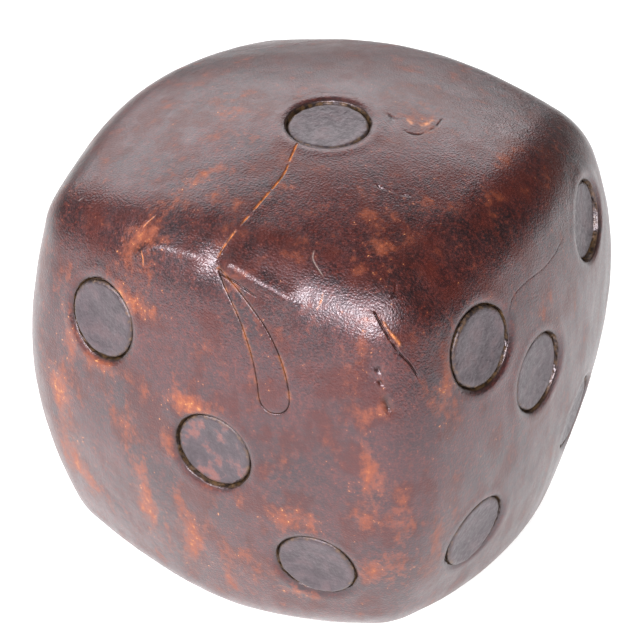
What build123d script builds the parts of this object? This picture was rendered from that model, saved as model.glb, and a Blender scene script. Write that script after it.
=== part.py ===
"""A leather-covered die about 100 mm across, of the kind kept as a paperweight or display die.

A hardwood core is cut to a cube with crowned faces and rounded edges and corners.  A wet-moulded
leather cap is pulled down over five of its faces and turned under, and a leather base panel closes the
sixth.  The leather gathers thicker over the corners, where the core is rounded off more.
Twenty-one black leather spots are let into holes punched through the leather, down to the core, and
a tongue-shaped leather patch is let into face three, where the cap once split.

Millimetres, +Z up.  The origin is the middle of the flat that the die rests on, under face six.
Face one is up, face three faces -Y, face five faces +X, and opposite faces add up to seven.
"""

from build123d import *
from math import sqrt
import os

# Driving dimensions of the crowned block
half_size = 50.0  # from the middle of the die to the crest of a face
crown_radius = 130.0  # each face is a shallow dome of this radius
edge_radius = 16.0  # the rounding of every edge and corner
rest_flat_radius = 17.0  # the worn flat in the middle of face six

# Leather and spots
leather = 1.8
core_corner_reach = 58.5  # how far the core's corners reach from the die's middle
base_opening = 76.0  # the square that the cap leaves open under the die
base_opening_corner = 14.0
seam_gap = 0.2  # the open line round a panel or patch that is let in
hole_radius = 7.9
spot_radius = 7.4
spot_sink = 0.5  # how far a spot's face lies below the leather round it
punch_reach = 6.0  # how far the punch runs each side of the leather's face

# The dome over the rest flat is cut away, so the die is a little under 2 * half_size tall
flat_depth = crown_radius - sqrt(crown_radius**2 - rest_flat_radius**2)
middle = Vector(0, 0, half_size - flat_depth)

# Each face of the die as a plane through the die's middle: its outward normal, and its x to the right
faces = {
    "one": Plane(origin=middle, x_dir=(1, 0, 0), z_dir=(0, 0, 1)),
    "two": Plane(origin=middle, x_dir=(0, -1, 0), z_dir=(-1, 0, 0)),
    "three": Plane(origin=middle, x_dir=(1, 0, 0), z_dir=(0, -1, 0)),
    "four": Plane(origin=middle, x_dir=(-1, 0, 0), z_dir=(0, 1, 0)),
    "five": Plane(origin=middle, x_dir=(0, 1, 0), z_dir=(1, 0, 0)),
    "six": Plane(origin=middle, x_dir=(1, 0, 0), z_dir=(0, 0, -1)),
}

# Where each hand-set spot sits on its face: to the right and up, from the face's middle
spots = {
    "one": {"middle": (5.0, -5.5)},
    "two": {"upper_left": (-21.5, 22.0), "lower_right": (21.0, -22.5)},
    "three": {"upper_left": (-19.0, 22.0), "middle": (6.0, 4.0), "lower_right": (24.5, -18.0)},
    "four": {
        "upper_left": (-22.0, 21.0),
        "upper_right": (21.5, 22.5),
        "lower_left": (-21.0, -22.0),
        "lower_right": (22.5, -21.5),
    },
    "five": {
        "upper_left": (-21.5, 23.5),
        "upper_right": (20.5, 26.0),
        "middle": (-5.5, 9.0),
        "lower_left": (-23.0, -17.5),
        "lower_right": (16.0, -15.5),
    },
    "six": {
        "upper_left": (-19.5, 24.0),
        "upper_right": (20.0, 23.5),
        "middle_left": (-20.5, 0.5),
        "middle_right": (19.5, -0.5),
        "lower_left": (-20.0, -23.5),
        "lower_right": (20.5, -24.0),
    },
}

# The tongue-shaped patch, to the right and up from the middle of face three: its tip lies on the
# die's upper edge, and its two sides curve down to a round end
patch_tip = (4.5, 40.0)
patch_right_side = (16.5, 31.0)
patch_end_right = (21.3, 19.0)
patch_end = (19.0, 16.0)
patch_end_left = (15.3, 19.0)
patch_left_side = (11.5, 31.0)


def crowned_block(inset):
    """The die's solid form, with every surface moved in by inset: six domes, rounded where they meet."""
    blank = 2 * half_size + 2 * edge_radius
    with BuildPart() as block:
        with Locations(middle):
            Box(blank, blank, blank)
        for face in faces.values():
            # Turned so that the sphere's poles and seam lie off the dome
            dome_middle = middle + face.z_dir * (half_size - crown_radius)
            with Locations(Plane(dome_middle, x_dir=-face.z_dir, z_dir=face.x_dir)):
                Sphere(crown_radius - inset, mode=Mode.INTERSECT)
        fillet(block.edges(), edge_radius - inset)
        split(bisect_by=Plane.XY.offset(inset), keep=Keep.TOP)
    return block.part


def spot_plane(face_name, across, up):
    """The plane touching the dome of a face at a spot's middle, with the dome's own normal there."""
    face = faces[face_name]
    dome_middle = middle + face.z_dir * (half_size - crown_radius)
    rise = sqrt(crown_radius**2 - across**2 - up**2)
    place = dome_middle + face.x_dir * across + face.y_dir * up + face.z_dir * rise
    return Plane(origin=place, x_dir=face.x_dir, z_dir=place - dome_middle)


def each_spot(*face_names):
    """Face name, place name and plane of every spot on these faces."""
    for face_name in face_names:
        for place, (across, up) in spots[face_name].items():
            yield face_name, place, spot_plane(face_name, across, up)


def patch_outline(gap):
    """The patch's outline as a flat face in the plane of face three, smaller all round by the gap."""
    with BuildSketch(faces["three"]) as outline:
        with BuildLine():
            ThreePointArc(patch_tip, patch_right_side, patch_end_right)
            ThreePointArc(patch_end_right, patch_end, patch_end_left)
            ThreePointArc(patch_end_left, patch_left_side, patch_tip)
        make_face()
        if gap:
            offset(amount=-gap, mode=Mode.REPLACE)
    return outline.sketch


def write(part, name):
    part.label = name
    export_step(part, f"parts/{name}.step")


os.makedirs("parts", exist_ok=True)
outside = crowned_block(0)
sunk = crowned_block(spot_sink)

# The hardwood core fills the leather, and a ball rounds off its corners
with BuildPart() as core_block:
    add(crowned_block(leather))
    with Locations(middle):
        Sphere(core_corner_reach, mode=Mode.INTERSECT)
inside = core_block.part
write(inside, "core_block")

# One piece of leather over faces one to five, open underneath, with fifteen punched holes and the
# slot for the patch
with BuildPart() as leather_cap:
    add(outside)
    add(inside, mode=Mode.SUBTRACT)
    with BuildSketch(Plane.XY):
        RectangleRounded(base_opening, base_opening, base_opening_corner)
    extrude(amount=half_size, mode=Mode.SUBTRACT)
    for _, _, plane in each_spot("one", "two", "three", "four", "five"):
        with BuildSketch(plane):
            Circle(hole_radius)
        extrude(amount=punch_reach, both=True, mode=Mode.SUBTRACT)
    extrude(patch_outline(0), amount=half_size, mode=Mode.SUBTRACT)
write(leather_cap.part, "leather_cap")

# The patch fills the slot cut for it, flush with the leather round it
with BuildPart() as let_in_patch:
    extrude(patch_outline(seam_gap), amount=half_size)
    add(outside, mode=Mode.INTERSECT)
    add(inside, mode=Mode.SUBTRACT)
write(let_in_patch.part, "let_in_patch")

# The panel under the die is let in flush, with six punched holes
panel_size = base_opening - 2 * seam_gap
with BuildPart() as base_panel:
    with BuildSketch(Plane.XY):
        RectangleRounded(panel_size, panel_size, base_opening_corner - seam_gap)
    extrude(amount=half_size)
    add(outside, mode=Mode.INTERSECT)
    add(inside, mode=Mode.SUBTRACT)
    for _, _, plane in each_spot("six"):
        with BuildSketch(plane):
            Circle(hole_radius)
        extrude(amount=punch_reach, both=True, mode=Mode.SUBTRACT)
write(base_panel.part, "base_panel")

# The spots: black leather discs a little smaller than their holes, glued to the core
for face_name, place, plane in each_spot(*spots):
    with BuildPart() as spot:
        with BuildSketch(plane):
            Circle(spot_radius)
        extrude(amount=punch_reach, both=True)
        add(sunk, mode=Mode.INTERSECT)
        add(inside, mode=Mode.SUBTRACT)
    write(spot.part, f"{face_name}_spot_{place}")
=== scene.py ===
"""The looks of an old leather-covered die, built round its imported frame.

Lengths are in millimetres from the die's middle until a mesh is made, and then in metres.
The leather cover, its base panel and its patch are closed shells.  Their outside follows the crowned
block of the frame, with the wear, creases, cracks and punched holes of old leather added to it.
"""

import math

import bmesh
import bpy
import numpy as np
from mathutils import Matrix, Vector, noise
from mathutils.geometry import delaunay_2d_cdt
from mathutils.kdtree import KDTree


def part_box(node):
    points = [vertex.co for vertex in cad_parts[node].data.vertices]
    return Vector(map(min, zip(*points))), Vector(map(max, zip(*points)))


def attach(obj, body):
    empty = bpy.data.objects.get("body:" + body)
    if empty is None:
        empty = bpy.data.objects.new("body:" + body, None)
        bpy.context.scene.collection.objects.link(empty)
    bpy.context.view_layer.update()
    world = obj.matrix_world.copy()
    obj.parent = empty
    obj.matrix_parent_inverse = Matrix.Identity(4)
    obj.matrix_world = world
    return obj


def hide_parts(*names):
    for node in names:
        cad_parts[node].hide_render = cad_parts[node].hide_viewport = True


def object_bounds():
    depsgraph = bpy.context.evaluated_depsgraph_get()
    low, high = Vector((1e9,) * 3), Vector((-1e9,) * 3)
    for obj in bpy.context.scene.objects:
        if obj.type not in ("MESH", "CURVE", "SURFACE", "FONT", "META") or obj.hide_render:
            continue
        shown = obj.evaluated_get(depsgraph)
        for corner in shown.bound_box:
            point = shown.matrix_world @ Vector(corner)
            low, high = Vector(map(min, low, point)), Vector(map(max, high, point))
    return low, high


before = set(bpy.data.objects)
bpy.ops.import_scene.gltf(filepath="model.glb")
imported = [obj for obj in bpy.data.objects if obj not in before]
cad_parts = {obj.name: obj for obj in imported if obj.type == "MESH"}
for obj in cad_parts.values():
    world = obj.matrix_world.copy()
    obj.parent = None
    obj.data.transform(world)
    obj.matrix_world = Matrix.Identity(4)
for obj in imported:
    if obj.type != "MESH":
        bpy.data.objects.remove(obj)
cad_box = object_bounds()

MM = 0.001

# The crowned block, as in the frame
half_size = 50.0  # from the die's middle to the crest of a face
crown_radius = 130.0  # the dome of a face
edge_radius = 16.0  # the rounding of edges and corners
rest_height = cad_box[1].z / MM - half_size  # the die's middle above the floor
leather = 1.8  # its thickness
hole_radius = 7.9
spot_radius = 7.4
base_opening = 76.0  # the square that the cap leaves open under the die
base_opening_corner = 14.0
open_seam = 0.08  # what shows of the seam round a piece that is let in
corner_wear = 0.02  # how much of its reach each corner has lost
core_corner_reach = 58.5  # the leather is thicker over the corners of the core

# Each face: right, up and outward
faces = {
    "one": ((1, 0, 0), (0, 1, 0), (0, 0, 1)),
    "two": ((0, -1, 0), (0, 0, 1), (-1, 0, 0)),
    "three": ((1, 0, 0), (0, 0, 1), (0, -1, 0)),
    "four": ((-1, 0, 0), (0, 0, 1), (0, 1, 0)),
    "five": ((0, 1, 0), (0, 0, 1), (1, 0, 0)),
    "six": ((1, 0, 0), (0, -1, 0), (0, 0, -1)),
}
faces = {name: np.array(axes, float) for name, axes in faces.items()}

# How finely the leather is divided
fine_count = 125  # points along a face outside
coarse_count = 25  # and inside, where nothing shows
patch_count = 180  # and along a face outside, for the patch
ring_count = 100  # points round a spot or its hole
loop_step = 0.5  # along the edge of a seam
mark_step = 0.3  # along a mark
beside_cut = (0.25, 0.6, 1.05)  # rings of points beside a hole or a seam

# The punched holes and the spots
raggedness = 0.012  # how uneven their outlines are, as a share of the radius
clear_of_hole = 0.18  # how close to a hole a mark's points may lie
hole_taper = 0.35  # how much narrower a hole is at the core
hole_torn = 0.3  # how rough its cut edge is
wall_depths = (0, 0.12, 0.3, 0.5, 0.7, 0.88, 1.0)  # rings down a cut edge, as shares of the leather


# ---------------------------------------------------------------- the crowned block as a formula


slide_rounds = 9  # enough for a point to settle on the block


def unit(vectors):
    """The vectors with their lengths made one."""
    return vectors / np.linalg.norm(vectors, axis=-1, keepdims=True)


def block_gap(points):
    """How far each point lies outside the crowned block, and the outward normal there."""
    p = np.abs(points)
    ball_shift = crown_radius - half_size
    ball_radius = crown_radius - edge_radius
    centres = -ball_shift * np.eye(3)
    nearest = [c + ball_radius * unit(p - c) for c in centres]
    ring_radius = math.sqrt(ball_radius**2 - ball_shift**2 / 2)
    for a, b in ((0, 1), (1, 2), (2, 0)):
        ring_middle = (centres[a] + centres[b]) / 2
        across = unit(centres[a] - centres[b])
        spoke = p - ring_middle
        spoke = spoke - (spoke @ across)[:, None] * across
        nearest.append(ring_middle + ring_radius * unit(spoke))
    corner = (math.sqrt(3 * ball_radius**2 - 2 * ball_shift**2) - ball_shift) / 3
    nearest.append(np.full_like(p, corner))
    gap = np.full(len(p), np.inf)
    normal = np.zeros_like(p)
    for q in nearest:
        inside = np.all([np.linalg.norm(q - c, axis=1) < ball_radius + 1e-6 for c in centres], axis=0)
        distance = np.linalg.norm(p - q, axis=1)
        better = inside & (distance < gap)
        gap[better] = distance[better]
        normal[better] = ((p - q) / distance[:, None])[better]
    return gap - edge_radius, normal * np.where(points < 0, -1, 1)


def slide(points, along):
    """Each point moved along its own direction until it lies on the block, and the normal there."""
    for _ in range(slide_rounds):
        gap, normal = block_gap(points)
        points = points - along * (gap / (normal * along).sum(1))[:, None]
    return points, normal


def skin(directions):
    """Where each direction from the die's middle meets the block, and the normal there."""
    along = unit(directions)
    return slide(along * half_size * 1.1, along)


def under(points, normals):
    """The same places on the core, under the leather."""
    points = points - leather * normals
    return points * np.minimum(1, core_corner_reach / np.linalg.norm(points, axis=1))[:, None]


def to_uv(face, points):
    """Places on a face's square, from -1 to 1, of points round the die.  Equal steps are equal angles."""
    right, up, out = faces[face]
    return np.stack([np.arctan2(points @ axis, points @ out) for axis in (right, up)], 1) / (math.pi / 4)


def from_uv(face, uv):
    """Directions from the die's middle through places on a face's square."""
    right, up, out = faces[face]
    across, rise = np.tan(uv * math.pi / 4).T
    return out + across[:, None] * right + rise[:, None] * up


def on_face(face, places):
    """Points on the block, and their normals, straight below places (to the right, up) on a face."""
    right, up, out = faces[face]
    places = np.array(places, float)
    start = places[:, :1] * right + places[:, 1:] * up + half_size * out
    return slide(start, np.broadcast_to(out, start.shape))


# ---------------------------------------------------------------- closed loops cut in the leather


def smooth_loop(points, passes):
    """A closed line with its corners softened."""
    for _ in range(passes):
        points = (np.roll(points, 1, 0) + 2 * points + np.roll(points, -1, 0)) / 4
    return points


def respace(points, step, closed):
    """The same line with points a step apart."""
    if closed:
        points = np.vstack([points, points[:1]])
    lengths = np.concatenate([[0], np.cumsum(np.linalg.norm(np.diff(points, axis=0), axis=1))])
    count = max(int(round(lengths[-1] / step)), 3)
    wanted = np.linspace(0, lengths[-1], count + 1)
    if closed:
        wanted = wanted[:-1]
    return np.stack([np.interp(wanted, lengths, points[:, i]) for i in range(points.shape[1])], 1)


def inward_of(points, normals):
    """For each point of a loop, the direction along the surface into the loop."""
    tangent = unit(np.roll(points, -1, 0) - np.roll(points, 1, 0))
    side = unit(np.cross(normals, tangent))
    if ((points.mean(0) - points) * side).sum() < 0:
        side = -side
    return side


def arc(start, through, end, count):
    """Points on the arc through three places, without its last one."""
    (ax, ay), (bx, by), (cx, cy) = start, through, end
    d = 2 * (ax * (by - cy) + bx * (cy - ay) + cx * (ay - by))
    a2, b2, c2 = ax * ax + ay * ay, bx * bx + by * by, cx * cx + cy * cy
    ux = (a2 * (by - cy) + b2 * (cy - ay) + c2 * (ay - by)) / d
    uy = (a2 * (cx - bx) + b2 * (ax - cx) + c2 * (bx - ax)) / d
    first = math.atan2(ay - uy, ax - ux)
    turn_through = (math.atan2(by - uy, bx - ux) - first) % (2 * math.pi)
    turn = (math.atan2(cy - uy, cx - ux) - first) % (2 * math.pi)
    if turn_through > turn:
        turn -= 2 * math.pi
    radius = math.hypot(ax - ux, ay - uy)
    angles = first + turn * np.arange(count) / count
    return np.stack([ux + radius * np.cos(angles), uy + radius * np.sin(angles)], 1)


def rounded_square(size, corner):
    """Places round a rounded square, as a face sees it."""
    reach = size / 2 - corner
    places = []
    for quarter, (sx, sy) in enumerate(((1, 1), (-1, 1), (-1, -1), (1, -1))):
        angles = math.pi / 2 * (quarter + np.arange(24) / 23)
        across, rise = sx * reach + corner * np.cos(angles), sy * reach + corner * np.sin(angles)
        places.append(np.stack([across, rise], 1))
    return np.vstack(places)


def wobble(points, scale, seed):
    """Smooth noise, one value for each point, with features about scale in size."""
    shift = Vector((seed * 17.3, seed * 5.1, seed * 9.7))
    return np.array([noise.noise(Vector(p) / scale + shift) for p in points])


def patch_places():
    """The tongue-shaped patch's outline on face three."""
    tip, end_right, end, end_left = (4.5, 40.0), (21.3, 19.0), (19.0, 16.0), (15.3, 19.0)
    sides = [
        arc(tip, (16.5, 31.0), end_right, 60),
        arc(end_right, end, end_left, 20),
        arc(end_left, (11.5, 31.0), tip, 60),
    ]
    return smooth_loop(respace(np.vstack(sides), 0.4, True), 14)


class Loop:
    """A closed line cut through the leather: its points on the skin, their normals, and the way in."""

    def __init__(self, points, normals):
        self.points = points
        self.normals = normals
        self.inward = inward_of(points, normals)

    def moved(self, inwards):
        """The loop's points moved straight into the loop, or out of it if inwards is below zero."""
        return self.points + self.inward * inwards

    def on_skin(self, inwards):
        """The same, brought back to the skin."""
        return skin(self.moved(inwards))[0]


def outline_loop(face, places, shrink=0.0):
    """A loop on the skin round places on a face, made smaller all round by shrink."""
    points, normals = on_face(face, respace(places, loop_step, True))
    loop = Loop(points, normals)
    if shrink:
        loop = Loop(*skin(loop.moved(shrink)))
    return loop


class Spot:
    """A punched hole and the leather disc let into it, placed where the frame has the disc."""

    def __init__(self, node):
        low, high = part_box(node)
        centre = np.array((low + high) / 2) / MM - (0, 0, rest_height)
        points, normals = skin(centre[None])
        self.node = node
        self.face = node.split("_")[0]
        self.seed = sorted(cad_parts).index(node) + 1
        self.centre, self.normal = points[0], normals[0]
        self.across = unit(np.cross(faces[self.face][1], self.normal))
        self.rise = np.cross(self.normal, self.across)
        self.hole = Loop(*self.ring(hole_radius))

    def ring(self, radius):
        """Points on the skin round the spot, with their normals."""
        angles = 2 * math.pi * np.arange(ring_count) / ring_count
        circle = np.cos(angles)[:, None] * self.across + np.sin(angles)[:, None] * self.rise
        ragged = 1 + raggedness * wobble(circle * hole_radius, 2.5, self.seed)
        start = self.centre + circle * (radius * ragged)[:, None]
        return slide(start, np.broadcast_to(self.normal, start.shape))


spots = [Spot(node) for node in sorted(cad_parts) if "_spot_" in node]


# ---------------------------------------------------------------- marks in the leather


def tree_of(points):
    """The points in a tree that finds the nearest one."""
    tree = KDTree(len(points))
    for i, point in enumerate(points):
        tree.insert(point, i)
    tree.balance()
    return tree


class Mark:
    """A crack, crease, ridge or scratch along a line on a face.

    height is how far it stands out (minus cuts in) and width how far to each side; lip is a low bank
    beside a cut, broken is how much of its length is missing, and stain goes to the leather's colour.
    A pinched mark has a sharp crest and long slopes."""

    def __init__(self, face, places, width, height, stain, lip=0.0, broken=0.0, pinched=False):
        line = respace(curve_through(np.array(places, float)), mark_step, False)
        self.points, self.normals = on_face(face, line)
        self.tangents = unit(np.gradient(self.points, axis=0))
        self.sides = np.cross(self.normals, self.tangents)
        steps = np.linspace(0, 1, len(self.points))
        from_end = np.minimum(steps, 1 - steps) * len(steps) * mark_step
        self.strength = np.clip(from_end / (1.5 * width + 0.4), 0, 1)
        if broken:
            patchy = wobble(self.points, 1.6, len(places)) + 0.45 - broken
            self.strength = self.strength * np.clip(0.5 + patchy * 3, 0, 1)
        self.width, self.height, self.stain = width, height, stain
        self.lip, self.pinched = lip, pinched
        self.tree = tree_of(self.points)

    def grid(self):
        """Points beside the line, where the mesh needs to be fine."""
        offsets = self.width * np.array([-2.4, -1.5, -0.8, -0.35, 0, 0.35, 0.8, 1.5, 2.4])
        return np.vstack([self.points + self.sides * offset for offset in offsets])

    def press(self, points, raised, stains):
        """Adds the mark's relief and stain at each point near it."""
        reach = 4 * self.width + 0.3
        low, high = self.points.min(0) - reach, self.points.max(0) + reach
        for i in np.nonzero(((points > low) & (points < high)).all(1))[0]:
            _, k, _ = self.tree.find(points[i])
            off = points[i] - self.points[k]
            along = off @ self.tangents[k]
            distance = math.sqrt(max(off @ off - along * along, 0)) / self.width
            if distance > 4 or abs(along) > 0.4 + self.width:
                continue
            bump = math.exp(-distance * distance)
            shape = math.exp(-0.9 * math.sqrt(distance * distance + 0.12)) if self.pinched else bump
            bank = math.exp(-((distance - 1.9) ** 2) * 1.6)
            strength = self.strength[k]
            raised[i] += strength * (self.height * shape + self.lip * bank)
            if self.stain:
                stains[self.stain][i] = max(stains[self.stain][i], strength * bump)


def curve_through(places):
    """A smooth line through the places, as a Catmull-Rom spline."""
    if len(places) < 3:
        return places
    padded = np.vstack([2 * places[0] - places[1], places, 2 * places[-1] - places[-2]])
    t = np.linspace(0, 1, 12, endpoint=False)[:, None]
    out = []
    for a, b, c, d in zip(padded, padded[1:], padded[2:], padded[3:]):
        square, cube = 2 * a - 5 * b + 4 * c - d, 3 * b - a - 3 * c + d
        out.append(0.5 * (2 * b + (c - a) * t + square * t**2 + cube * t**3))
    return np.vstack(out + [places[-1:]])


marks = [
    # The split that runs from the one spot over the edge to the patch
    Mark("one", [(3.7, -13.5), (4.7, -17.5), (6.1, -22.7), (6.1, -29.6), (5.6, -36), (4.4, -41.8)],
         0.15, -0.2, "orange", lip=0.05, broken=0.3),
    # The pinched ridge along the edge between one and three, and the line under it
    Mark("three", [(4.6, 40.6), (9.3, 40.0), (13.7, 38.9), (17.2, 38.1), (21.5, 36.6)],
         1.6, 1.3, None, pinched=True),
    Mark("three", [(5.2, 39.0), (9.0, 38.3), (13.5, 36.9)], 0.16, -0.3, "dark"),
    # The fold to the left of it, and its scratches
    Mark("one", [(-13.0, -43.9), (-8.0, -42.6), (-3.0, -42.4), (2.5, -42.2)], 1.4, 0.7, None, pinched=True),
    Mark("one", [(-12.1, -40.6), (-10.5, -38.3)], 0.1, -0.08, "orange"),
    Mark("three", [(-10.5, 38.4), (-9.9, 37.3), (-9.6, 36.0)], 0.09, -0.06, "orange"),
    # The split at the corner of one, three and five, and the folds and pits round it
    Mark("three", [(33.2, 37.6), (35.0, 35.5), (36.5, 33.5), (38.7, 30.2), (40.2, 28.0), (41.4, 25.4)],
         0.15, -0.4, "dark", lip=0.2, broken=0.15),
    Mark("three", [(35.0, 36.2), (37.6, 33.0), (39.6, 30.0)], 0.22, 0.1, "orange", broken=0.4),
    Mark("one", [(34.6, -32.2), (35.2, -33.6), (35.0, -35.2)], 0.2, -0.14, None, lip=0.08),
    Mark("three", [(35.7, 28.4), (36.1, 27.0)], 0.42, -0.6, "dark", lip=0.2),
    Mark("three", [(36.1, 26.0), (36.8, 24.8)], 0.35, -0.5, "dark", lip=0.2),
    Mark("three", [(37.2, 23.4), (37.9, 21.4), (38.4, 19.6)], 0.6, -0.35, "dark", lip=0.1),
    Mark("three", [(24.2, 39.4), (24.3, 38.0), (24.0, 36.6)], 0.14, -0.12, "orange", broken=0.3),
    Mark("one", [(19.6, -34.6), (20.3, -36.2), (22.4, -37.4), (24.2, -38.2)],
         0.1, -0.03, "pale", broken=0.25),
    # A short ragged crack and a smile-shaped crease on face one
    Mark("one", [(21.3, -16.2), (22.6, -16.6), (23.9, -16.0), (25.4, -16.1), (27.6, -15.1)],
         0.2, -0.3, "dark", lip=0.1, broken=0.3),
    Mark("one", [(13.0, 2.6), (14.9, 1.3)], 0.3, -0.2, "dark", lip=0.06),
    Mark("one", [(16.6, 0.6), (18.9, -0.5), (20.9, 0.6), (21.8, 4.6), (21.2, 9.0)],
         0.26, -0.12, "dark", broken=0.4),
    Mark("one", [(16.0, 3.6), (19.2, 2.4), (20.4, 6.5)], 0.4, -0.04, "orange", broken=0.45),
    Mark("one", [(-30.1, -37.0), (-29.1, -36.2)], 0.1, -0.05, "pale"),
    # A hairline crease down face five
    Mark("five", [(7.2, 30.5), (0.0, 29.0), (-7.8, 29.4), (-12.4, 28.2), (-14.2, 24.6), (-15.8, 18.2)],
         0.2, -0.05, None),
    # The sides that nobody keeps in view have their own creases
    Mark("two", [(-30, 34), (-22, 37), (-12, 35), (-5, 38)], 0.2, -0.2, "orange", lip=0.06, broken=0.3),
    Mark("two", [(10, 12), (16, 4), (17, -6), (24, -12)], 0.2, -0.15, "dark", lip=0.05, broken=0.3),
    Mark("four", [(-8, 38), (-5, 28), (-9, 16), (-4, 6)], 0.16, -0.2, "orange", lip=0.06, broken=0.3),
    Mark("four", [(14, -4), (24, -2), (33, -8)], 0.3, -0.2, "dark", lip=0.1, broken=0.2),
    Mark("one", [(-32, 18), (-24, 24), (-20, 33)], 0.2, -0.1, None, lip=0.05, broken=0.3),
    Mark("six", [(-10, -12), (-2, -6), (3, 4), (11, 8)], 0.2, -0.15, "dark", lip=0.05, broken=0.2),
]

# Worn places on each face: middle, reach to the right and up, and how much
worn_places = {
    "one": [
        ((-8, -31), (5, 9), 0.8), ((-14, -6), (6, 9), 0.4), ((24, -20), (8, 5), 0.3),
        ((30, -29), (5, 6), 0.7), ((-12, -43), (5, 3), 1.0), ((20, 4), (7, 6), 0.45),
        ((8, 26), (16, 7), 0.35), ((-28, 10), (6, 10), 0.3), ((36, 2), (5, 12), 0.3),
    ],
    "three": [
        ((-11, 28.5), (6, 2.2), 1.5), ((-27.5, 18), (3, 7), 1.3), ((-18.5, 13.6), (5, 2), 1.2),
        ((-31.5, 3), (3.5, 6), 1.7), ((-29, -14), (5, 9), 1.0), ((-11, -16), (3, 10), 1.15),
        ((1, 12.8), (6, 2.2), 1.4), ((-3.6, 5), (1.8, 5), 1.0), ((20, -6), (9, 4), 1.0),
        ((-2, -20), (4, 8), 0.8), ((8, -24), (7, 6), 0.75), ((-14, 6), (5, 6), 0.6),
        ((22, -27.5), (5, 1.5), 1.2), ((36, 1), (4, 10), 0.8), ((36, -17), (4, 4), 1.0),
        ((33, 29), (3, 6), 1.0), ((37, 20), (4, 3), 1.0), ((18, 26), (4, 8), 0.4),
        ((4, 25), (7, 3), 0.4), ((2, -14), (7, 5), 0.6), ((0, -30), (24, 6), 0.35),
    ],
    "five": [
        ((-32, 21), (3, 5), 0.9), ((-2, 22), (5, 3), 0.5), ((6, 14), (4, 5), 0.4),
        ((-34, -14), (5, 18), 0.4), ((20, -34), (14, 6), 0.3),
    ],
    "two": [
        ((-14, 8), (8, 10), 0.6), ((26, 28), (9, 6), 0.8), ((4, -32), (20, 6), 0.5),
    ],
    "four": [
        ((-30, -6), (6, 12), 0.7), ((6, 14), (10, 6), 0.5), ((20, -32), (14, 6), 0.6),
    ],
    "six": [
        ((0, 0), (14, 14), 0.7), ((-20, 12), (8, 10), 0.5), ((30, -30), (9, 9), 0.7),
        ((-32, -32), (9, 9), 0.7),
    ],
}

# Where the worn die swells or has lost more: direction from the middle, half-width and height
swells = [
    ((1, -0.95, -1), 0.25, -0.9), ((-1, -0.95, -0.95), 0.3, 0.7), ((1, 0.35, 0.75), 0.4, 1.0),
    ((1, 0.9, 0.5), 0.35, 0.9), ((-0.2, 1, 1), 0.5, -0.5),
]

# The uneven surface of the leather: height, size of its features, and seed
unevenness = [(0.30, 21.0, 1), (0.10, 8.0, 2), (0.035, 3.0, 3)]


def relief(points, seams):
    """How far the worn leather stands out from the block at each point, and its stains."""
    raised = sum(height * wobble(points, scale, seed) for height, scale, seed in unevenness)
    stains = {name: np.zeros(len(points)) for name in ("orange", "dark", "pale", "worn")}
    # Round each hole the leather rises in a low bank and then sinks at the rim, where dirt gathers
    for spot in spots:
        ring = np.linalg.norm(points - spot.centre, axis=1) - hole_radius
        near = ring < 4
        bank = 0.12 * np.exp(-((ring - 1.6) ** 2))
        sunk = 0.4 * np.exp(-((np.maximum(ring, 0) / 0.5) ** 2))
        dirt = np.exp(-((np.maximum(ring, 0) / 0.35) ** 2))
        raised[near] += (bank - sunk)[near]
        stains["dark"] = np.maximum(stains["dark"], np.where(near, dirt, 0))
    for mark in marks:
        mark.press(points, raised, stains)
    for face, places in worn_places.items():
        right, up, out = faces[face]
        facing = points @ out > half_size * 0.5
        for place, reach, amount in places:
            off_right = (points @ right - place[0]) / reach[0]
            off_up = (points @ up - place[1]) / reach[1]
            stains["worn"] += np.where(facing, amount * np.exp(-(off_right**2) - off_up**2), 0)
    # The edges of a seam are pressed down, rubbed orange in places and dirty in others
    for seam in seams:
        tree = tree_of(seam.points)
        reach = 1.5
        low, high = seam.points.min(0) - reach, seam.points.max(0) + reach
        for i in np.nonzero(((points > low) & (points < high)).all(1))[0]:
            distance = tree.find(points[i])[2]
            edge = math.exp(-((distance / 0.25) ** 2))
            raised[i] -= 0.1 * edge
            rubbed = min(max(0.3 + 2.5 * noise.noise(Vector(points[i]) / 2.3), 0), 1)
            stains["orange"][i] = max(stains["orange"][i], 0.45 * rubbed * edge)
            stains["dark"][i] = max(stains["dark"][i], 0.6 * (1 - rubbed) * edge)
    corner_share = 27 * np.prod(unit(points) ** 2, axis=1)
    raised -= corner_wear * np.linalg.norm(points, axis=1) * corner_share
    for towards, width, height in swells:
        turned = np.linalg.norm(unit(points) - unit(np.array(towards, float)), axis=1)
        raised += height * np.exp(-((turned / width) ** 2))
    return raised, stains


# ---------------------------------------------------------------- meshes


same_place = 1e-7  # points closer than this on a face's square count as one
not_zero = 1e-9  # keeps a point at the die's middle from having no direction
weld = 0.002  # points of a piece closer than this are joined


def inside_loop(uv, loop_uv):
    """Which places lie inside a closed line."""
    x, y = uv[:, 0], uv[:, 1]
    inside = np.zeros(len(uv), bool)
    for (x0, y0), (x1, y1) in zip(loop_uv, np.roll(loop_uv, -1, 0)):
        if y0 != y1:
            inside ^= ((y0 > y) != (y1 > y)) & (x < (x1 - x0) * (y - y0) / (y1 - y0) + x0)
    return inside


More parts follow.
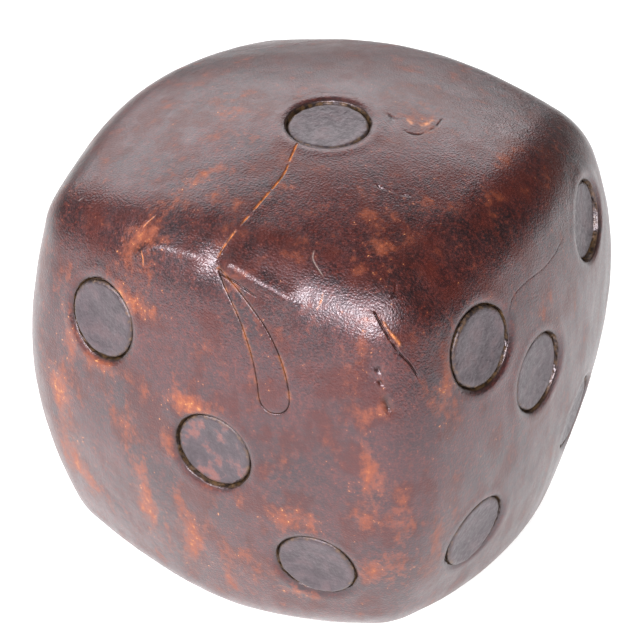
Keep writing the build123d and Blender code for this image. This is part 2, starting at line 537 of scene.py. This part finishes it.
def tile(face, count, outline, holes, extra, inside):
    """Points and triangles of one face's leather, on its outside, or else on its inside.

    outline is the loop that it lies in, or None for the whole face; holes are loops left open, and
    extra is points that the mesh must have.  A loop's points are kept exactly as they are given."""
    loops = ([] if outline is None else [outline]) + list(holes)
    steps = np.linspace(-1, 1, count)
    u, v = np.meshgrid(steps, steps)
    grid_uv = np.stack([u.ravel(), v.ravel()], 1)
    on_border = np.abs(grid_uv).max(1) == 1
    grid = skin(from_uv(face, grid_uv))[0]
    spacing = 2 * half_size / count

    # The grid's own points stay where no wanted point is near, but a whole face keeps its border, so
    # that it meets the next face
    fixed = np.vstack([*loops, extra, np.zeros((1, 3))])
    tree = tree_of(unit(fixed + not_zero) * half_size)
    clear = np.array([tree.find(p)[2] > 0.8 * spacing for p in unit(grid) * half_size])
    keep = clear | on_border
    if outline is not None:
        keep = clear & inside_loop(grid_uv, to_uv(face, outline))
    extra_uv = to_uv(face, extra)
    safe = np.abs(extra_uv).max(1) < 1 - 0.4 * spacing / half_size
    points, normals = skin(np.vstack([from_uv(face, grid_uv[keep]), extra[safe]]))
    if inside:
        points = under(points, normals)

    # Then come the loops, whose lines the triangles have to follow
    uv = [grid_uv[keep], extra_uv[safe]]
    edges = []
    for loop in loops:
        first = sum(map(len, uv))
        ids = range(first, first + len(loop))
        edges += list(zip(ids, [*ids[1:], first]))
        uv.append(to_uv(face, loop))
        points = np.vstack([points, loop])
    uv = np.vstack(uv)
    _, _, triangles, origins, _, _ = delaunay_2d_cdt([Vector(p) for p in uv], edges, [], 0, same_place)
    triangles = np.array([[origins[i][0] for i in t] for t in triangles])

    middles = uv[triangles].mean(1)
    wanted = np.ones(len(triangles), bool)
    if outline is not None:
        wanted &= inside_loop(middles, to_uv(face, outline))
    for hole in holes:
        wanted &= ~inside_loop(middles, to_uv(face, hole))
    return points, triangles[wanted]


class Shell:
    """A closed piece of leather, collected as points and triangles.

    over is the place on the skin above each point, and share is how much of the skin's relief the point
    takes: all of it outside, less and less down a cut edge, and none inside."""

    def __init__(self):
        self.points, self.over, self.share, self.triangles = [], [], [], []
        self.count = 0

    def add(self, points, triangles, over, share):
        self.points.append(points)
        self.over.append(over)
        self.share.append(np.full(len(points), share))
        self.triangles.append(np.asarray(triangles, int).reshape(-1, 3) + self.count)
        self.count += len(points)

    def add_outside(self, face, count, outline, holes, extra):
        """The leather's outside on one face, which takes all of the relief."""
        points, triangles = tile(face, count, outline, holes, extra, False)
        self.add(points, triangles, points, 1.0)

    def add_inside(self, face, outline, holes):
        """The leather's inside on one face, against the core."""
        points, triangles = tile(face, coarse_count, outline, holes, np.zeros((0, 3)), True)
        self.add(points, triangles, points, 0.0)

    def add_wall(self, loop, seed, taper=0.0, torn=0.0):
        """The cut edge of the leather, from the skin down to the core.  Returns its lowest ring."""
        bottom = under(loop.moved(taper), loop.normals)
        a = np.arange(len(loop.points))
        b = np.roll(a, -1)
        band = np.vstack([np.stack([a - len(a), b - len(a), b], 1), np.stack([a - len(a), b, a], 1)])
        for depth in wall_depths:
            ring = loop.points + (bottom - loop.points) * depth
            rough = torn * wobble(loop.points, 0.9, seed + 10 * depth) * math.sin(depth * math.pi)
            ring = ring + loop.inward * rough[:, None]
            self.add(ring, band if depth else [], loop.points, 1.0 - depth)
        return ring

    def make(self, name, seams):
        """The finished piece, with the relief and stains of its skin."""
        points, over, share = np.vstack(self.points), np.vstack(self.over), np.concatenate(self.share)
        moved = share > 0
        normals = skin(over[moved])[1]
        raised, stains = relief(over[moved], seams)
        points[moved] += normals * (raised * share[moved])[:, None]
        points[:, 2] = np.maximum(points[:, 2], -rest_height)
        mesh = new_mesh(name, points, np.vstack(self.triangles))
        outside = share == 1
        for stain, values in stains.items():
            full = np.zeros(len(points))
            full[moved] = values
            store(mesh, stain, full * outside)
        store(mesh, "cut", 1.0 - outside)
        return finish_piece(name, mesh)


def new_mesh(name, points, triangles):
    """A mesh in the frame's metres, from points in millimetres from the die's middle."""
    mesh = bpy.data.meshes.new(name)
    mesh.from_pydata(((points + (0, 0, rest_height)) * MM).tolist(), [], np.asarray(triangles).tolist())
    return mesh


def store(mesh, name, values):
    """Keeps a value for each point, for the materials to read."""
    attribute = mesh.attributes.new(name, "FLOAT", "POINT")
    attribute.data.foreach_set("value", np.asarray(values, np.float32))


def finish_piece(name, mesh):
    """Joins the points that meet, turns every face outward, and puts the piece in the scene."""
    bm = bmesh.new()
    bm.from_mesh(mesh)
    bmesh.ops.remove_doubles(bm, verts=bm.verts, dist=weld * MM)
    bmesh.ops.recalc_face_normals(bm, faces=bm.faces)
    for face in bm.faces:
        face.smooth = True
    bm.to_mesh(mesh)
    bm.free()
    piece = bpy.data.objects.new(name, mesh)
    bpy.context.scene.collection.objects.link(piece)
    return piece


def lines_on(face, rings):
    """Points that the mesh of a face must have: beside its marks, and in the rings beside its cuts."""
    points = np.vstack([mark.grid() for mark in marks] + rings)
    points = points[(points @ faces[face][2]) > 0.99 * np.abs(points).max(1)]
    for spot in spots:
        if spot.face == face:
            points = points[np.linalg.norm(points - spot.centre, axis=1) > hole_radius + clear_of_hole]
    return points


base_outline = rounded_square(base_opening, base_opening_corner)


def build_cover():
    """The cap over faces one to five, turned under round face six."""
    shell = Shell()
    seams = {"three": outline_loop("three", patch_places()), "six": outline_loop("six", base_outline)}
    for face in faces:
        holes = [s.hole for s in spots if s.face == face and face != "six"]
        seam = seams.get(face)
        loops = holes + ([seam] if seam else [])
        extra = lines_on(face, [loop.on_skin(-offset) for loop in loops for offset in beside_cut])
        if seam:
            extra = extra[~inside_loop(to_uv(face, extra), to_uv(face, seam.moved(-0.2)))]
        shell.add_outside(face, fine_count, None, [loop.points for loop in loops], extra)
        bottoms = [shell.add_wall(hole, i, hole_taper, hole_torn) for i, hole in enumerate(holes)]
        if seam:
            bottoms.append(shell.add_wall(seam, len(holes)))
        shell.add_inside(face, None, bottoms)
    return shell.make("worn_cover", list(seams.values()))


def build_panel(name, face, outline, holes, count):
    """A flush piece of leather let into the cover, with its own punched holes."""
    shell = Shell()
    rings = [hole.on_skin(-offset) for hole in holes for offset in beside_cut]
    rings += [outline.on_skin(offset) for offset in beside_cut[:2]]
    extra = lines_on(face, rings)
    extra = extra[inside_loop(to_uv(face, extra), to_uv(face, outline.on_skin(0.15)))]
    shell.add_outside(face, count, outline.points, [hole.points for hole in holes], extra)
    edge = shell.add_wall(outline, 3)
    bottoms = [shell.add_wall(hole, i, hole_taper, hole_torn) for i, hole in enumerate(holes)]
    shell.add_inside(face, edge, bottoms)
    return shell.make(name, [outline])


# Spots with the black rubbed off in places
rubbed_spots = ("three_spot_middle", "four_spot_lower_left", "six_spot_upper_right", "two_spot_lower_right")

# From a spot's middle to its edge: share of the radius, and how far it dips
spot_profile = [
    (0.0, 0.55), (0.12, 0.54), (0.25, 0.50), (0.38, 0.43), (0.5, 0.35), (0.6, 0.27), (0.7, 0.18),
    (0.78, 0.10), (0.85, 0.03), (0.9, 0.0), (0.94, 0.05), (0.97, 0.18), (0.99, 0.32), (1.0, 0.5),
]
under_rim = 1.1  # marks the underside as beyond the rim, for the dirt there


def build_spot(spot):
    """A black leather disc, slightly dished, with a rolled edge, sunk in its hole."""
    sink = 0.6 + 0.25 * abs(noise.noise(Vector((spot.seed * 3.7, 0.5, 0.5))))
    points, triangles, rims = [], [], []
    for share, drop in spot_profile:
        ring, normals = spot.ring(max(share * (spot_radius + 0.1), 0.02))
        lumps = 0.06 * wobble(ring, 2.2, spot.seed + 3) + 0.10 * wobble(ring, 5.0, spot.seed + 5)
        edge_lumps = 0.12 * wobble(ring, 1.4, spot.seed + 7) * share**6
        points.append(ring - normals * (sink + drop + lumps + edge_lumps)[:, None])
        rims.append(np.full(len(ring), share))
    ring, normals = spot.ring(spot_radius - 0.05)
    points.append(ring - normals * leather)
    rims.append(np.full(len(ring), under_rim))
    a = np.arange(ring_count)
    b = (a + 1) % ring_count
    for k in range(len(points) - 1):
        inner, outer = k * ring_count, (k + 1) * ring_count
        triangles.append(np.stack([a + inner, b + inner, b + outer], 1))
        triangles.append(np.stack([a + inner, b + outer, a + outer], 1))
    last = (len(points) - 1) * ring_count
    top_middle = len(points) * ring_count
    points.append(points[0].mean(0)[None])
    points.append((spot.centre - spot.normal * leather)[None])
    rims.append(np.array([0.0, under_rim]))
    triangles.append(np.stack([b, a, np.full(ring_count, top_middle)], 1))
    triangles.append(np.stack([a + last, b + last, np.full(ring_count, top_middle + 1)], 1))
    mesh = new_mesh("worn_" + spot.node, np.vstack(points), np.vstack(triangles))
    store(mesh, "rim", np.concatenate(rims))
    rubbed = 0.6 if spot.node in rubbed_spots else 0.08
    store(mesh, "rubbed", np.full(len(mesh.vertices), rubbed))
    return finish_piece("worn_" + spot.node, mesh)


# ---------------------------------------------------------------- materials


class Nodes:
    """A short way to write a material's nodes."""

    def __init__(self, name):
        self.material = bpy.data.materials.new(name)
        self.material.use_nodes = True
        self.tree = self.material.node_tree
        self.shader = self.tree.nodes["Principled BSDF"]
        self.place = self.add("ShaderNodeTexCoord").outputs["Object"]

    def add(self, kind, inputs=(), **settings):
        node = self.tree.nodes.new(kind)
        for key, value in settings.items():
            setattr(node, key, value)
        for key, value in dict(inputs).items():
            self.put(node.inputs[key], value)
        return node

    def put(self, socket, value):
        if isinstance(value, bpy.types.NodeSocket):
            self.tree.links.new(value, socket)
        else:
            socket.default_value = value

    def noise(self, size, detail=3.0, roughness=0.55, stretch=(1, 1, 1), shift=0.0):
        """Noise from 0 to 1 with features about size millimetres across."""
        moved = {"Vector": self.place, "Location": (shift,) * 3, "Scale": stretch}
        place = self.add("ShaderNodeMapping", moved).outputs[0]
        look = {"Vector": place, "Scale": 1 / (size * MM), "Detail": detail, "Roughness": roughness}
        node = self.add("ShaderNodeTexNoise", look)
        return node.outputs["Fac"]

    def cells(self, size):
        """How far each place is from the middle of its cell, with cells about size millimetres across."""
        look = {"Vector": self.place, "Scale": 1 / (size * MM)}
        return self.add("ShaderNodeTexVoronoi", look, feature="SMOOTH_F1").outputs["Distance"]

    def value(self, name):
        """A value that build code has stored on the mesh."""
        return self.add("ShaderNodeAttribute", attribute_name=name).outputs["Fac"]

    def product(self, a, b):
        return self.add("ShaderNodeMath", {0: a, 1: b}, operation="MULTIPLY").outputs[0]

    def weigh(self, *parts):
        """The sum of values, each times its weight."""
        total = 0.0
        for value, weight in reversed(parts):
            inputs = {0: value, 1: weight, 2: total}
            total = self.add("ShaderNodeMath", inputs, operation="MULTIPLY_ADD").outputs[0]
        return total

    def ramp(self, value, low, high, to_low=0.0, to_high=1.0):
        """Goes smoothly from to_low to to_high as the value goes from low to high."""
        ends = {"Value": value, "From Min": low, "From Max": high, "To Min": to_low, "To Max": to_high}
        return self.add("ShaderNodeMapRange", ends, interpolation_type="SMOOTHSTEP").outputs["Result"]

    def mix(self, share, a, b):
        """The colour a, or b where share is 1."""
        node = self.add("ShaderNodeMix", data_type="RGBA")
        for socket, value in ((node.inputs[0], share), (node.inputs[6], a), (node.inputs[7], b)):
            if isinstance(value, tuple) and len(value) == 3:
                value = (*value, 1)
            self.put(socket, value)
        return node.outputs[2]

    def bump(self, height, distance, strength):
        """A bump of a height from 0 to 1, distance millimetres high."""
        node = self.add("ShaderNodeBump", {"Height": height, "Distance": distance * MM, "Strength": strength})
        self.surface({"Normal": node.outputs[0], "Coat Normal": node.outputs[0]})

    def surface(self, looks):
        """Puts values or links into the shader."""
        for name, value in looks.items():
            self.put(self.shader.inputs[name], value)


sheen_tint = (1.0, 0.80, 0.90, 1)  # old varnish and wax give the shine a mauve cast


def cover_leather():
    """Dark red-brown varnished leather, rubbed through to orange, with a fine pebbled grain."""
    n = Nodes("cover_leather")
    broad = n.noise(18, 3)
    patches = n.noise(7, 3, 0.5, shift=1.3)
    streak = n.noise(4.5, 4, 0.55, stretch=(1, 1, 0.4), shift=0.3)
    small = n.noise(1.2, 4, 0.65, shift=0.7)
    speck = n.noise(0.45, 2, 0.6, shift=0.1)
    worn = n.value("worn")

    # The dye: near black to dark red, uneven from fine to broad
    colour = n.mix(n.ramp(broad, 0.36, 0.64), (0.008, 0.003, 0.003), (0.036, 0.006, 0.005))
    colour = n.mix(n.ramp(small, 0.42, 0.68, 0, 0.6), colour, (0.10, 0.016, 0.009))
    colour = n.mix(n.ramp(speck, 0.35, 0.55, 0.5, 0), colour, (0.005, 0.003, 0.003))
    colour = n.mix(n.ramp(speck, 0.52, 0.72, 0, 0.45), colour, (0.13, 0.02, 0.01))
    rust = n.ramp(n.weigh((worn, 0.08), (patches, 0.65), (streak, 0.35)), 0.47, 0.63)
    colour = n.mix(n.product(rust, 0.7), colour, (0.062, 0.010, 0.0055))

    # Where it is rubbed through: rust, then tan, and tan flecks
    rub = n.weigh((worn, 0.17), (streak, 0.68), (small, 0.32))
    colour = n.mix(n.ramp(rub, 0.55, 0.80, 0, 0.9), colour, (0.25, 0.055, 0.015))
    colour = n.mix(n.ramp(rub, 0.72, 0.90, 0, 0.8), colour, (0.50, 0.20, 0.055))
    fleck = n.weigh((worn, 0.05), (small, 0.45), (speck, 0.55))
    colour = n.mix(n.ramp(fleck, 0.65, 0.72, 0, 0.8), colour, (0.60, 0.26, 0.08))

    # The marks' stains, and the dusty cut edges
    stain = n.product(n.value("orange"), n.ramp(small, 0.35, 0.6, 0.2, 1))
    colour = n.mix(stain, colour, (0.58, 0.19, 0.05))
    colour = n.mix(n.product(n.value("dark"), 0.85), colour, (0.010, 0.007, 0.005))
    colour = n.mix(n.product(n.value("pale"), 0.3), colour, (0.6, 0.5, 0.45))
    dust = n.mix(n.ramp(small, 0.4, 0.65), (0.012, 0.008, 0.005), (0.10, 0.055, 0.022))
    colour = n.mix(n.value("cut"), colour, dust)

    rough = n.ramp(n.weigh((streak, 0.6), (speck, 0.4)), 0.35, 0.65, 0.33, 0.48)
    n.surface({
        "Base Color": colour,
        "Roughness": n.weigh((n.ramp(rub, 0.6, 0.8), 0.15), (rough, 1)),
        "Specular IOR Level": n.ramp(rust, 0, 1, 0.9, 0.66),
        "Specular Tint": sheen_tint,
        "Coat Weight": 0.28,
        "Coat Roughness": 0.16,
    })
    wrinkles = n.noise(0.3, 3, 0.6, stretch=(0.4, 1, 1), shift=0.5)
    pits = n.ramp(fleck, 0.65, 0.72)
    n.bump(n.weigh((pits, -0.2), (small, 0.12), (n.cells(0.34), 0.9), (wrinkles, 0.45)), 0.12, 0.52)
    return n.material


def spot_leather():
    """Black leather with a soft shine, dusty at the rim, rubbed brown on some spots."""
    n = Nodes("spot_leather")
    middle = n.noise(3.5, 4, 0.6)
    small = n.noise(0.9, 4, 0.6, shift=0.4)
    colour = n.mix(n.ramp(middle, 0.35, 0.65), (0.014, 0.011, 0.013), (0.042, 0.031, 0.036))
    worn = n.product(n.ramp(middle, 0.5, 0.66), n.value("rubbed"))
    colour = n.mix(worn, colour, (0.20, 0.05, 0.028))
    rim = n.weigh((small, 0.16), (n.value("rim"), 1))
    dirt = n.mix(n.ramp(small, 0.4, 0.7), (0.010, 0.007, 0.005), (0.10, 0.055, 0.022))
    colour = n.mix(n.ramp(rim, 0.98, 1.06), colour, dirt)
    n.surface({
        "Base Color": colour,
        "Roughness": n.ramp(small, 0.3, 0.7, 0.36, 0.56),
        "Specular IOR Level": 1.0,
        "Specular Tint": sheen_tint,
        "Coat Weight": 0.2,
        "Coat Roughness": 0.3,
    })
    fine = n.noise(0.6, 4, 0.6, shift=0.2)
    n.bump(n.weigh((middle, 1.6), (n.cells(0.6), 0.5), (fine, 1)), 0.14, 0.7)
    return n.material


def core_wood():
    """Plain hardwood with darker and lighter rings."""
    n = Nodes("core_wood")
    rings = n.noise(2.2, 4, 0.6, stretch=(1, 1, 0.12))
    n.surface({
        "Base Color": n.mix(n.ramp(rings, 0.35, 0.65), (0.045, 0.024, 0.012), (0.11, 0.062, 0.03)),
        "Roughness": n.ramp(rings, 0.3, 0.7, 0.65, 0.85),
    })
    n.bump(rings, 0.1, 0.4)
    return n.material


def paper_floor():
    """A plain white light table, which glows less far from the die."""
    n = Nodes("floor")
    distance = n.add("ShaderNodeVectorMath", {0: n.place}, operation="LENGTH").outputs["Value"]
    n.surface({
        "Base Color": n.mix(n.noise(60, 2), (0.80, 0.80, 0.80), (0.84, 0.84, 0.84)),
        "Roughness": 0.9,
        "Emission Color": (1, 1, 1, 1),
        "Emission Strength": n.ramp(distance, 0.28, 0.6, 0.50, 0.02),
    })
    return n.material


# ---------------------------------------------------------------- the object


leather_finish = cover_leather()
spot_finish = spot_leather()


def dress(piece, node, material):
    """Gives a piece its material and body, and hides the frame's node that it replaces."""
    piece.data.materials.append(material)
    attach(piece, "root")
    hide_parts(node)


dress(build_cover(), "leather_cap", leather_finish)
six_holes = [s.hole for s in spots if s.face == "six"]
base_edge = outline_loop("six", base_outline, open_seam)
base_panel = build_panel("worn_base_panel", "six", base_edge, six_holes, fine_count)
dress(base_panel, "base_panel", leather_finish)
patch_edge = outline_loop("three", patch_places(), open_seam)
patch = build_panel("worn_patch", "three", patch_edge, [], patch_count)
dress(patch, "let_in_patch", leather_finish)
for spot in spots:
    dress(build_spot(spot), spot.node, spot_finish)
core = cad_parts["core_block"]
core.data.materials.clear()
core.data.materials.append(core_wood())


# ---------------------------------------------------------------- floor, light and camera


floor_reach = 3  # metres
floor_corners = [(x * floor_reach, y * floor_reach, 0) for x, y in ((-1, -1), (1, -1), (1, 1), (-1, 1))]
floor_mesh = bpy.data.meshes.new("floor")
floor_mesh.from_pydata(floor_corners, [], [(0, 1, 2, 3)])
floor_mesh.materials.append(paper_floor())
floor = bpy.data.objects.new("floor", floor_mesh)
bpy.context.scene.collection.objects.link(floor)

middle = Vector((0, 0, rest_height * MM))


def direction(azimuth, elevation):
    """Away from the die: azimuth 0 is towards -Y, 90 towards +X."""
    a, e = math.radians(azimuth), math.radians(elevation)
    return Vector((math.sin(a) * math.cos(e), -math.cos(a) * math.cos(e), math.sin(e)))


def softbox(name, azimuth, elevation, distance, size, power):
    """A soft rectangular light that faces the die."""
    light = bpy.data.lights.new(name, "AREA")
    light.shape = "RECTANGLE"
    light.size, light.size_y = size
    light.energy = power
    lamp = bpy.data.objects.new(name, light)
    away = direction(azimuth, elevation)
    lamp.location = middle + away * distance
    lamp.rotation_mode = "QUATERNION"
    lamp.rotation_quaternion = away.to_track_quat("Z", "Y")
    bpy.context.scene.collection.objects.link(lamp)


# The broad sheen on top, a weak fill, and the glints on the pinched ridge and the near corner
softbox("back_left", -136, 36, 0.9, (1.3, 0.6), 6.3)
softbox("front", 40, 42, 1.1, (0.5, 0.25), 3)
softbox("ridge", -25, 37, 1.1, (0.34, 0.2), 10)
softbox("near_corner", 24, 33, 1.1, (0.32, 0.3), 12)
world = bpy.data.worlds.new("room")
world.use_nodes = True
background = world.node_tree.nodes["Background"]
background.inputs["Color"].default_value = (1, 1, 1, 1)
background.inputs["Strength"].default_value = 0.09
bpy.context.scene.world = world
bpy.context.scene.view_settings.view_transform = "Standard"

camera_azimuth, camera_elevation, camera_roll = 32.36, 35.45, -1.74
camera_distance = 376.9
camera_shift = (-1.285, 0.231)  # to the right and up, in millimetres
back = direction(camera_azimuth, camera_elevation)
level = Vector((math.cos(math.radians(camera_azimuth)), math.sin(math.radians(camera_azimuth)), 0))
turn = Matrix.Rotation(math.radians(camera_roll), 3, back)
right = turn @ level
up = back.cross(right)
camera = bpy.data.objects.new("camera", bpy.data.cameras.new("camera"))
camera.data.lens = 106.1
camera.data.clip_start = 0.01
camera.matrix_world = Matrix.Translation(
    middle + (back * camera_distance + right * camera_shift[0] + up * camera_shift[1]) * MM
) @ Matrix((right, up, back)).transposed().to_4x4()
bpy.context.scene.collection.objects.link(camera)
bpy.context.scene.camera = camera
